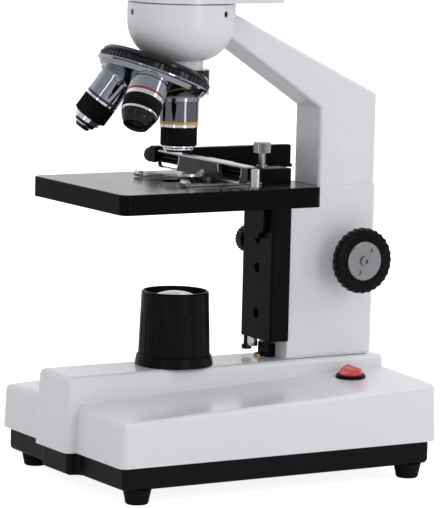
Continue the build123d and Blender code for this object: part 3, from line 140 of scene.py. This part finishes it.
# The slide holder's notches, as in the part's source, and the bevels round them
HOLDER_FRONT_Y = -10.5
HOLDER_TOP_Z = 187.5
NOTCH_RADIUS = 13.0
NOTCH_DEPTH = 8.6
NOTCH_CENTRE_Z = HOLDER_TOP_Z - 0.3
NOTCH_BOTTOM_Z = HOLDER_TOP_Z - NOTCH_DEPTH
NOTCH_NEAR_X = 28.0
NOTCH_FAR_X = -44.0
RIM_WIDTH = 0.7
RIM_LIFT = 0.12
RIM_SINK = 0.3
RIM_STEPS = 12

# The focusing knobs and bushes, on the axis of the part's source
FOCUS_Y = 79.8
FOCUS_Z = 127.9
SHAFT_RADIUS = 4.0
KNOB_RADIUS = 19.8
KNOB_OUTER_X = 37.4
KNOB_WIDTH = 6.4
KNOB_FLUTES = 28
KNOB_FLUTE_DEPTH = 0.75
KNOB_EDGE = 1.2
KNOB_FACE_EDGE = 0.4
CAP_SEAT_RADIUS = 11.9
CAP_SEAT_DEPTH = 1.6
BUSH_RADIUS = 6.8
BUSH_SPIGOT = 5.5
BUSH_START_X = 12.8
BUSH_EDGE = 0.5
BUSH_GROOVE = 0.6
BUSH_GROOVE_FROM = 3.4
BUSH_GROOVE_TO = 2.0
BUSH_GROOVE_SLOPE = 0.4
COLUMN_SIDE_X = 16.0
RUN_GAP = 0.15

# The bright stop under the carriage, and the screw head on the ridge
STOP_CENTRE = Vector((-9, 31, 75.9))
STOP_SIZE = Vector((5.2, 4.4, 6.0))
STOP_BEVEL = 0.4
SCREW_PLACE = Vector((-6, 33, 67.25))
SCREW_OUTLINE = ((0, 0, PLAIN), (2.6, 0, PLAIN), (2.6, 1.2, PLAIN), (2.1, 1.9, PLAIN), (0.9, 2.2, PLAIN),
                 (0.8, 1.4, PLAIN), (0, 1.4, PLAIN))


def add_camera():
    """The camera that took the photograph, with its picture's centre as a small shift."""
    back = Vector((math.sin(AZIMUTH) * math.cos(ELEVATION), -math.cos(AZIMUTH) * math.cos(ELEVATION),
                   math.sin(ELEVATION)))
    right = (-back).cross(Vector((0, 0, 1))).normalized()
    up = back.cross(right)
    x_axis = right * math.cos(ROLL) + up * math.sin(ROLL)
    y_axis = up * math.cos(ROLL) - right * math.sin(ROLL)
    camera = bpy.data.cameras.new("camera")
    camera.sensor_fit = "VERTICAL"
    camera.sensor_height = SENSOR
    camera.lens = SENSOR * FOCAL_PX / PHOTO_HEIGHT
    camera.shift_x = (PHOTO_WIDTH / 2 - CENTRE_U) / PHOTO_HEIGHT
    camera.shift_y = (CENTRE_V - PHOTO_HEIGHT / 2) / PHOTO_HEIGHT
    camera.clip_start = CLIP_START
    camera.clip_end = CLIP_END
    holder = bpy.data.objects.new("camera", camera)
    bpy.context.collection.objects.link(holder)
    place = Matrix((x_axis, y_axis, back)).transposed().to_4x4()
    place.translation = TARGET + back * DISTANCE
    holder.matrix_world = place
    bpy.context.scene.camera = holder


def add_light(name, place, aim, size, power):
    """A rectangular area light that the camera doesn't see."""
    light = bpy.data.lights.new(name, "AREA")
    light.shape = "RECTANGLE"
    light.size, light.size_y = size
    light.energy = power
    holder = bpy.data.objects.new(name, light)
    bpy.context.collection.objects.link(holder)
    holder.location = place
    holder.rotation_euler = (Vector(aim) - Vector(place)).to_track_quat("-Z", "Y").to_euler()
    holder.visible_camera = False


def add_floor():
    """A pale floor, which the camera sees as the photograph's white."""
    half = FLOOR_HALF
    mesh = bpy.data.meshes.new("floor")
    mesh.from_pydata([(-half, -half, 0), (half, -half, 0), (half, half, 0), (-half, half, 0)], [], [(0, 1, 2, 3)])
    floor = bpy.data.objects.new("floor", mesh)
    bpy.context.collection.objects.link(floor)
    material = bpy.data.materials.new("floor_white")
    material.use_nodes = True
    nodes, links = material.node_tree.nodes, material.node_tree.links
    shader = nodes["Principled BSDF"]
    shader.inputs["Base Color"].default_value = FLOOR_COLOUR
    shader.inputs["Roughness"].default_value = FLOOR_ROUGH
    shader.inputs["Specular IOR Level"].default_value = FLOOR_LEVEL
    ray = nodes.new("ShaderNodeLightPath")
    glow = nodes.new("ShaderNodeMapRange")
    glow.inputs["To Min"].default_value = FLOOR_GLOW
    glow.inputs["To Max"].default_value = FLOOR_SEEN
    links.new(ray.outputs["Is Camera Ray"], glow.inputs["Value"])
    shader.inputs["Emission Color"].default_value = WHITE
    links.new(glow.outputs["Result"], shader.inputs["Emission Strength"])
    mesh.materials.append(material)


def add_world():
    """A white background, which lights the object more from behind than from the camera's side."""
    world = bpy.data.worlds.new("studio")
    world.use_nodes = True
    nodes, links = world.node_tree.nodes, world.node_tree.links
    nodes.clear()
    place = nodes.new("ShaderNodeTexCoord")
    along = nodes.new("ShaderNodeVectorMath")
    along.operation = "DOT_PRODUCT"
    along.inputs[1].default_value = BACK_WAY
    links.new(place.outputs["Generated"], along.inputs[0])
    spread = nodes.new("ShaderNodeMapRange")
    spread.interpolation_type = "SMOOTHSTEP"
    spread.inputs["From Min"].default_value = BACK_FROM
    spread.inputs["From Max"].default_value = BACK_TO
    spread.inputs["To Min"].default_value = WORLD_FRONT
    spread.inputs["To Max"].default_value = WORLD_BACK
    links.new(along.outputs["Value"], spread.inputs["Value"])
    seen = nodes.new("ShaderNodeBackground")
    seen.inputs["Color"].default_value = WHITE
    seen.inputs["Strength"].default_value = 1.0
    light = nodes.new("ShaderNodeBackground")
    light.inputs["Color"].default_value = WORLD_TINT
    links.new(spread.outputs["Result"], light.inputs["Strength"])
    ray = nodes.new("ShaderNodeLightPath")
    mix = nodes.new("ShaderNodeMixShader")
    out = nodes.new("ShaderNodeOutputWorld")
    links.new(ray.outputs["Is Camera Ray"], mix.inputs["Fac"])
    links.new(light.outputs["Background"], mix.inputs[1])
    links.new(seen.outputs["Background"], mix.inputs[2])
    links.new(mix.outputs["Shader"], out.inputs["Surface"])
    bpy.context.scene.world = world
    bpy.context.scene.view_settings.view_transform = "Standard"


def finish(name, colour, rough, metal=0.0, level=0.5, grain=900.0, bump=0.05, vary=0.04, rough_vary=0.06,
           coat=0.0, coat_rough=0.1, transmission=0.0, ior=1.45, painted_shade_top_level=None):
    """A node material: mottled colour and roughness, and a fine bump, all in object space.

    With a top level, faces that look up get that specular level and the others get level: a painted shade that
    keeps the sides darker than the tops.
    """
    material = bpy.data.materials.new(name)
    material.use_nodes = True
    nodes, links = material.node_tree.nodes, material.node_tree.links
    shader = nodes["Principled BSDF"]
    shader.inputs["Metallic"].default_value = metal
    shader.inputs["Specular IOR Level"].default_value = level
    shader.inputs["Coat Weight"].default_value = coat
    shader.inputs["Coat Roughness"].default_value = coat_rough
    shader.inputs["Transmission Weight"].default_value = transmission
    shader.inputs["IOR"].default_value = ior
    place = nodes.new("ShaderNodeTexCoord")
    broad = nodes.new("ShaderNodeTexNoise")
    broad.inputs["Scale"].default_value = MOTTLE_SCALE
    broad.inputs["Detail"].default_value = MOTTLE_DETAIL
    links.new(place.outputs["Object"], broad.inputs["Vector"])
    ramp = nodes.new("ShaderNodeValToRGB")
    dark, light = ramp.color_ramp.elements
    dark.position = MOTTLE_LOW
    light.position = MOTTLE_HIGH
    dark.color = (*[c * (1 - vary) for c in colour], 1)
    light.color = (*[min(1.0, c * (1 + vary)) for c in colour], 1)
    links.new(broad.outputs["Fac"], ramp.inputs["Fac"])
    links.new(ramp.outputs["Color"], shader.inputs["Base Color"])
    spread = nodes.new("ShaderNodeMapRange")
    spread.inputs["To Min"].default_value = max(LEAST_ROUGH, rough - rough_vary)
    spread.inputs["To Max"].default_value = rough + rough_vary
    links.new(broad.outputs["Fac"], spread.inputs["Value"])
    links.new(spread.outputs["Result"], shader.inputs["Roughness"])
    fine = nodes.new("ShaderNodeTexNoise")
    fine.inputs["Scale"].default_value = grain
    fine.inputs["Detail"].default_value = GRAIN_DETAIL
    links.new(place.outputs["Object"], fine.inputs["Vector"])
    relief = nodes.new("ShaderNodeBump")
    relief.inputs["Strength"].default_value = bump
    relief.inputs["Distance"].default_value = RELIEF_DEPTH
    links.new(fine.outputs["Fac"], relief.inputs["Height"])
    links.new(relief.outputs["Normal"], shader.inputs["Normal"])
    # Painted shade: faces that look up keep the top's specular level, the others get the lower level and render
    # darker
    if painted_shade_top_level is not None:
        facing = nodes.new("ShaderNodeNewGeometry")
        split = nodes.new("ShaderNodeSeparateXYZ")
        links.new(facing.outputs["Normal"], split.inputs["Vector"])
        painted_shade_share = nodes.new("ShaderNodeMapRange")
        painted_shade_share.inputs["From Min"].default_value = PAINTED_SHADE_UP_FROM
        painted_shade_share.inputs["To Min"].default_value = level
        painted_shade_share.inputs["To Max"].default_value = painted_shade_top_level
        links.new(split.outputs["Z"], painted_shade_share.inputs["Value"])
        links.new(painted_shade_share.outputs["Result"], shader.inputs["Specular IOR Level"])
    return material


def dress(material, *names):
    """Gives the objects of these CAD nodes this material in every slot."""
    for name in names:
        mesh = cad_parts[name].data
        if not mesh.materials:
            mesh.materials.append(material)
        for index in range(len(mesh.materials)):
            mesh.materials[index] = material


def turret_matrix(angle):
    """Where an objective hangs: its own origin at the seat, its own Z up along its axis."""
    centre = Vector((0, AXIS_Y - RIM_OFFSET * math.cos(TURRET_TILT), RIM_Z + RIM_OFFSET * math.sin(TURRET_TILT)))
    axis = Vector((0, math.sin(TURRET_TILT), math.cos(TURRET_TILT)))
    swing = Matrix.Rotation(math.radians(angle), 4, axis)
    place = Matrix.Translation(centre) @ swing @ Matrix.Translation(-centre)
    return Matrix.Scale(MM, 4) @ place @ Matrix.Translation((0, AXIS_Y, SEAT_Z))


def skin(shape, rings, slots):
    """Joins each ring of vertices to the next with faces of its slot, and the last ring to the first."""
    for index, (ring, slot) in enumerate(zip(rings, slots)):
        after = rings[(index + 1) % len(rings)]
        for step in range(len(ring)):
            follow = (step + 1) % len(ring)
            face = shape.faces.new((ring[step], ring[follow], after[follow], after[step]))
            face.material_index = slot
            face.smooth = True


def turn(shape, outline, place):
    """Adds a solid turned about Z from a closed outline of (radius, z, slot) in millimetres."""
    rings = []
    for radius, z, slot in outline:
        angles = [2 * math.pi * step / TURNS for step in range(TURNS)]
        points = [Vector((radius * math.cos(a), radius * math.sin(a), z)) for a in angles]
        rings.append([shape.verts.new(place @ point) for point in points])
    skin(shape, rings, [slot for radius, z, slot in outline])


def flute(shape, outline, place, flutes, depth):
    """Adds a turned solid whose rings marked FLUTED are waved by this many flutes."""
    steps = flutes * STEPS_PER_FLUTE
    rings = []
    for radius, z, kind in outline:
        ring = []
        for step in range(steps):
            angle = 2 * math.pi * step / steps
            dip = depth * (1 - math.cos(flutes * angle)) / 2 if kind == FLUTED else 0
            point = Vector(((radius - dip) * math.cos(angle), (radius - dip) * math.sin(angle), z))
            ring.append(shape.verts.new(place @ point))
        rings.append(ring)
    skin(shape, rings, [PLAIN] * len(rings))


def finish_piece(name, shape, materials, body, *nodes):
    """Turns a bmesh into a piece of the object, with its materials, its body and what it replaces."""
    bmesh.ops.remove_doubles(shape, verts=shape.verts, dist=MERGE_DISTANCE)
    bmesh.ops.recalc_face_normals(shape, faces=shape.faces)
    mesh = bpy.data.meshes.new(name)
    shape.to_mesh(mesh)
    shape.free()
    for material in materials:
        mesh.materials.append(material)
    mesh.set_sharp_from_angle(angle=SHARP_ANGLE)
    piece = bpy.data.objects.new(name, mesh)
    bpy.context.collection.objects.link(piece)
    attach(piece, body)
    if nodes:
        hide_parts(*nodes)


def objective_outline(radius, band_start, grip_start, grip_length, sleeve, front):
    """The turned barrel of one objective, from its thread down to its lens recess."""
    groove = band_start + BAND
    core = sleeve - SLEEVE_WALL
    grip_end = grip_start + grip_length
    crown = radius + BAND_CROWN
    outline = [(BORE, THREAD_LENGTH, BARREL), (THREAD_RADIUS, THREAD_LENGTH, BARREL), (THREAD_RADIUS, 0, BARREL),
               (radius - EDGE, 0, BARREL), (radius, -EDGE, BARREL), (radius, -band_start, BANDED),
               (crown, -band_start - BAND_CROWN, BANDED), (crown, BAND_CROWN - groove, BANDED),
               (radius, -groove, RING), (radius, EDGE - grip_start, RING), (radius - EDGE, -grip_start, RING),
               (core, -grip_start, BARREL), (core, -grip_end, BARREL)]
    outline += [(reach, -grip_end - depth, slot) for reach, depth, slot in front]
    end = outline[-1][1]
    recess = LENS_RADIUS + LENS_GAP
    outline += [(recess, end + FRONT_LIP, FRONT), (recess, end + LENS_RECESS, BARREL),
                (BORE, end + BORE_DEPTH, BARREL)]
    return outline


def sleeve_outline(grip_start, grip_length, sleeve):
    """The fluted sleeve round an objective."""
    top = -grip_start
    end = -grip_start - grip_length
    core = sleeve - SLEEVE_WALL
    return [(core, top, PLAIN), (sleeve - EDGE, top, PLAIN), (sleeve, top - EDGE, FLUTED),
            (sleeve, end + EDGE, FLUTED), (sleeve - EDGE, end, PLAIN), (core, end, PLAIN)]


def lens_outline(tip):
    """The front lens in its recess, slightly domed."""
    seat = tip + LENS_RECESS
    return [(0, seat + LENS_BACK, PLAIN), (LENS_RADIUS, seat + LENS_BACK, PLAIN),
            (LENS_RADIUS, seat - LENS_RIM, PLAIN), (LENS_RADIUS / 2, seat - LENS_SHOULDER, PLAIN),
            (0, seat - LENS_CROWN, PLAIN)]


def add_objectives():
    """The three objectives, each turned from its own outline, in the photograph's order round the turret.

    The sizes are the barrel's radius, the band's start, the sleeve's start and length, and its radius.
    """
    # The 10x barrel takes the darker chrome, a painted dark reflection; the other barrels take the plain chrome
    kinds = ((0, "objective_10x", (11.4, 11.9, 15.4, 10.8, 10.8), MID_FRONT,
              dark_reflection_chrome, yellow, "objective_10x"),
             (NEAR_TURN, "objective_near", (11.2, 7.6, 11.6, 8.0, 11.3), LOW_FRONT,
              chrome, crimson, "objective_40x"),
             (FAR_TURN, "objective_far", (10.4, 13.2, 16.4, 10.6, 10.4), HIGH_FRONT,
              chrome, navy, "objective_4x"))
    sleeves = bmesh.new()
    glass = bmesh.new()
    for angle, name, sizes, front, metal, band, node in kinds:
        place = turret_matrix(angle)
        outline = objective_outline(*sizes, front)
        shape = bmesh.new()
        turn(shape, outline, place)
        finish_piece(name, shape, [metal, band, bright, black_gloss], "turret", node + "_barrel", node + "_band")
        flute(sleeves, sleeve_outline(*sizes[2:]), place, SLEEVE_FLUTES, SLEEVE_FLUTE_DEPTH)
        turn(glass, lens_outline(outline[-3][1]), place)
    finish_piece("objective_grips", sleeves, [black_satin], "turret", "objective_sleeves")
    finish_piece("objective_lenses", glass, [lens], "turret", "objective_front_lenses")


def add_notch_arc(shape, centre_x, side, low):
    """One curved side of a notch's bevel, a square rod bent round the notch."""
    rows = []
    corners = ((0, -RIM_LIFT), (RIM_WIDTH, -RIM_LIFT), (RIM_WIDTH, RIM_SINK), (0, RIM_SINK))
    for step in range(RIM_STEPS + 1):
        angle = low * step / RIM_STEPS
        row = []
        for width, lift in corners:
            reach = NOTCH_RADIUS + width
            point = Vector((centre_x + side * reach * math.cos(angle), HOLDER_FRONT_Y + lift,
                            NOTCH_CENTRE_Z + reach * math.sin(angle)))
            row.append(shape.verts.new(point * MM))
        rows.append(row)
    for before, after in zip(rows, rows[1:]):
        for corner in range(len(corners)):
            follow = (corner + 1) % len(corners)
            shape.faces.new((before[corner], before[follow], after[follow], after[corner]))
    shape.faces.new(rows[0])
    shape.faces.new(rows[-1])


def add_notch_rims():
    """The bright bevels round the notches of the slide holder."""
    low = -math.asin(NOTCH_DEPTH / NOTCH_RADIUS)
    reach = NOTCH_RADIUS * math.cos(low)
    shape = bmesh.new()
    for centre_x, sides, start in ((NOTCH_NEAR_X, (-1, 1), -reach), (NOTCH_FAR_X, (1,), -reach / 2)):
        for side in sides:
            add_notch_arc(shape, centre_x, side, low)
        middle = Vector((centre_x + (start + reach) / 2, HOLDER_FRONT_Y + (RIM_SINK - RIM_LIFT) / 2,
                         NOTCH_BOTTOM_Z - RIM_WIDTH / 2))
        size = Vector((reach - start, RIM_SINK + RIM_LIFT, RIM_WIDTH))
        for vert in bmesh.ops.create_cube(shape, size=1.0)["verts"]:
            vert.co = (middle + vert.co * size) * MM
    finish_piece("notch_rims", shape, [bright], "holder")


def add_focus_drive():
    """Two narrow fluted knobs, and the chromed bushes that show behind them."""
    knobs = bmesh.new()
    bushes = bmesh.new()
    back = KNOB_OUTER_X - KNOB_WIDTH
    seat = KNOB_OUTER_X - CAP_SEAT_DEPTH
    knob = ((SHAFT_RADIUS, back, PLAIN), (KNOB_RADIUS - KNOB_EDGE, back, PLAIN),
            (KNOB_RADIUS, back + KNOB_EDGE, FLUTED), (KNOB_RADIUS, KNOB_OUTER_X - KNOB_EDGE, FLUTED),
            (KNOB_RADIUS - KNOB_EDGE / 3, KNOB_OUTER_X - KNOB_FACE_EDGE, FLUTED),
            (KNOB_RADIUS - KNOB_EDGE, KNOB_OUTER_X, PLAIN), (CAP_SEAT_RADIUS, KNOB_OUTER_X, PLAIN),
            (CAP_SEAT_RADIUS, seat, PLAIN), (SHAFT_RADIUS, seat, PLAIN))
    end = back - RUN_GAP
    bore = SHAFT_RADIUS + RUN_GAP
    neck = BUSH_RADIUS - BUSH_GROOVE
    groove_start = end - BUSH_GROOVE_FROM
    groove_end = end - BUSH_GROOVE_TO
    bush = ((bore, BUSH_START_X, PLAIN), (BUSH_SPIGOT, BUSH_START_X, PLAIN), (BUSH_SPIGOT, COLUMN_SIDE_X, PLAIN),
            (BUSH_RADIUS, COLUMN_SIDE_X, PLAIN), (BUSH_RADIUS, groove_start, PLAIN),
            (neck, groove_start + BUSH_GROOVE_SLOPE, PLAIN), (neck, groove_end - BUSH_GROOVE_SLOPE, PLAIN),
            (BUSH_RADIUS, groove_end, PLAIN), (BUSH_RADIUS, end - BUSH_EDGE, PLAIN),
            (BUSH_RADIUS - BUSH_EDGE, end, PLAIN), (bore, end, PLAIN))
    for side in (-1, 1):
        place = (Matrix.Scale(MM, 4) @ Matrix.Translation((0, FOCUS_Y, FOCUS_Z))
                 @ Matrix.Rotation(side * math.pi / 2, 4, "Y"))
        flute(knobs, knob, place, KNOB_FLUTES, KNOB_FLUTE_DEPTH)
        turn(bushes, bush, place)
    finish_piece("focus_grips", knobs, [black_plastic], "focus_drive", "focus_knobs")
    finish_piece("focus_collars", bushes, [bright], "stand", "focus_bushes")


def add_stops():
    """The bright stop under the carriage and the brass screw head on the ridge below it."""
    shape = bmesh.new()
    bmesh.ops.create_cube(shape, size=1.0)
    for vert in shape.verts:
        vert.co = (STOP_CENTRE + vert.co * STOP_SIZE) * MM
    bmesh.ops.bevel(shape, geom=shape.edges[:], offset=STOP_BEVEL * MM, segments=2, affect="EDGES", profile=0.5)
    finish_piece("carriage_stop", shape, [steel], "carriage")
    shape = bmesh.new()
    turn(shape, SCREW_OUTLINE, Matrix.Scale(MM, 4) @ Matrix.Translation(SCREW_PLACE))
    finish_piece("ridge_screw", shape, [brass], "stand")


add_camera()
add_floor()
add_world()
for light in LIGHTS:
    add_light(*light)

white_paint = finish("white_paint", (0.80, 0.80, 0.83), 0.26, grain=1400, vary=0.012)
white_plastic = finish("white_plastic", (0.81, 0.81, 0.84), 0.22, grain=1700, vary=0.012, coat=0.25)
black_plastic = finish("black_plastic", (0.005, 0.005, 0.006), 0.30, level=0.09, grain=1500, bump=0.08)
black_satin = finish("black_satin", (0.0035, 0.0035, 0.0045), 0.34, level=0.08, grain=1800)
# The stage plate's enamel: its sides get a far lower specular level than its top, a painted shade on the sides
black_enamel = finish("black_enamel", (0.003, 0.003, 0.004), 0.17, level=0.06, painted_shade_top_level=0.5, grain=1800, bump=0.03)
black_gloss = finish("black_gloss", (0.003, 0.003, 0.006), 0.12, level=0.35, grain=600, bump=0.02)
black_tray = finish("black_tray", (0.006, 0.006, 0.007), 0.34, level=0.12, grain=1300, bump=0.12)
holder_grey = finish("holder_grey", (0.075, 0.075, 0.085), 0.42, level=0.3, grain=2600, bump=0.5, vary=0.35)
chrome = finish("chrome_plate", (0.34, 0.35, 0.39), 0.09, metal=1.0, grain=700, bump=0.01, rough_vary=0.03)
# The same chrome made darker for the 10x objective's barrel: a painted dark reflection
dark_reflection_chrome = finish("chrome_painted_dark_reflection", (0.17, 0.17, 0.19), 0.07, metal=1.0, grain=700, bump=0.008, rough_vary=0.02)
bright = finish("chrome_bright", (0.80, 0.81, 0.84), 0.10, metal=1.0, grain=700, bump=0.01, rough_vary=0.03)
steel = finish("bright_steel", (0.58, 0.58, 0.60), 0.20, metal=1.0, grain=1200)
disc_steel = finish("knob_disc_steel", (0.33, 0.33, 0.34), 0.30, metal=1.0, grain=1300, bump=0.08)
dark_steel = finish("dark_steel", (0.03, 0.03, 0.035), 0.30, metal=1.0, grain=1200)
alloy = finish("cast_alloy", (0.50, 0.50, 0.52), 0.42, metal=1.0, grain=1000, bump=0.12)
brass = finish("brass_metal", (0.60, 0.42, 0.18), 0.30, metal=1.0, grain=1200)
rubber = finish("rubber_black", (0.006, 0.006, 0.006), 0.6, level=0.12, grain=1500, bump=0.2)
lens = finish("lens_glass", (0.90, 0.93, 0.96), 0.05, transmission=1.0, ior=1.5, grain=300, bump=0.0)
lamp_lens = finish("lamp_lens_opal", (0.70, 0.72, 0.76), 0.08, coat=1.0, coat_rough=0.03, grain=300, bump=0.0)
screen = finish("screen_glass_black", (0.006, 0.006, 0.008), 0.05, grain=300, bump=0.0)
red = finish("red_rocker", (0.80, 0.035, 0.032), 0.16, coat=1.0, grain=700, bump=0.03)
board = finish("board_green", (0.02, 0.13, 0.05), 0.5, grain=800, bump=0.2)
yellow = finish("band_yellow", (0.62, 0.36, 0.03), 0.25, coat=0.4, bump=0.03)
crimson = finish("band_red", (0.26, 0.02, 0.025), 0.25, coat=0.4, bump=0.03)
navy = finish("band_navy", (0.01, 0.02, 0.09), 0.25, coat=0.4, bump=0.03)

dress(white_paint, "column_housing", "arm_casting", "head_bowl")
dress(white_plastic, "base_cover", "head_housing", "screen_frame")
dress(black_plastic, "lamp_flange", "lamp_cup", "power_inlet", "switch_body", "focus_knobs", "x_knob", "y_knob",
      "lock_knob")
dress(black_tray, "base_tray")
dress(black_enamel, "stage_plate")
dress(black_satin, "carriage_plate", "stage_guide", "cross_bar", "stage_bracket", "diaphragm_disc", "cross_rail",
      "guide_rails", "carriage_tongue")
dress(holder_grey, "slide_holder")
dress(black_gloss, "nosepiece_base", "turret_grip")
dress(alloy, "head_dovetail", "led_module")
dress(chrome, "turret_shell", "focus_bushes")
dress(steel, "foot_screws", "turret_pivot", "pinion_shaft", "focus_rack", "stage_screws", "stage_clip_near",
      "stage_clip_far", "slide_finger", "scale_strip", "end_post")
dress(disc_steel, "knob_caps", "clamp_screw")
dress(dark_steel, "limit_screw", "head_set_screws", "carriage_screws")
dress(rubber, "rubber_feet")
dress(lens, "condenser")
dress(lamp_lens, "collector_lens")
dress(screen, "screen_glass")
dress(red, "rocker")
dress(board, "power_board")
add_objectives()
add_notch_rims()
add_focus_drive()
add_stops()
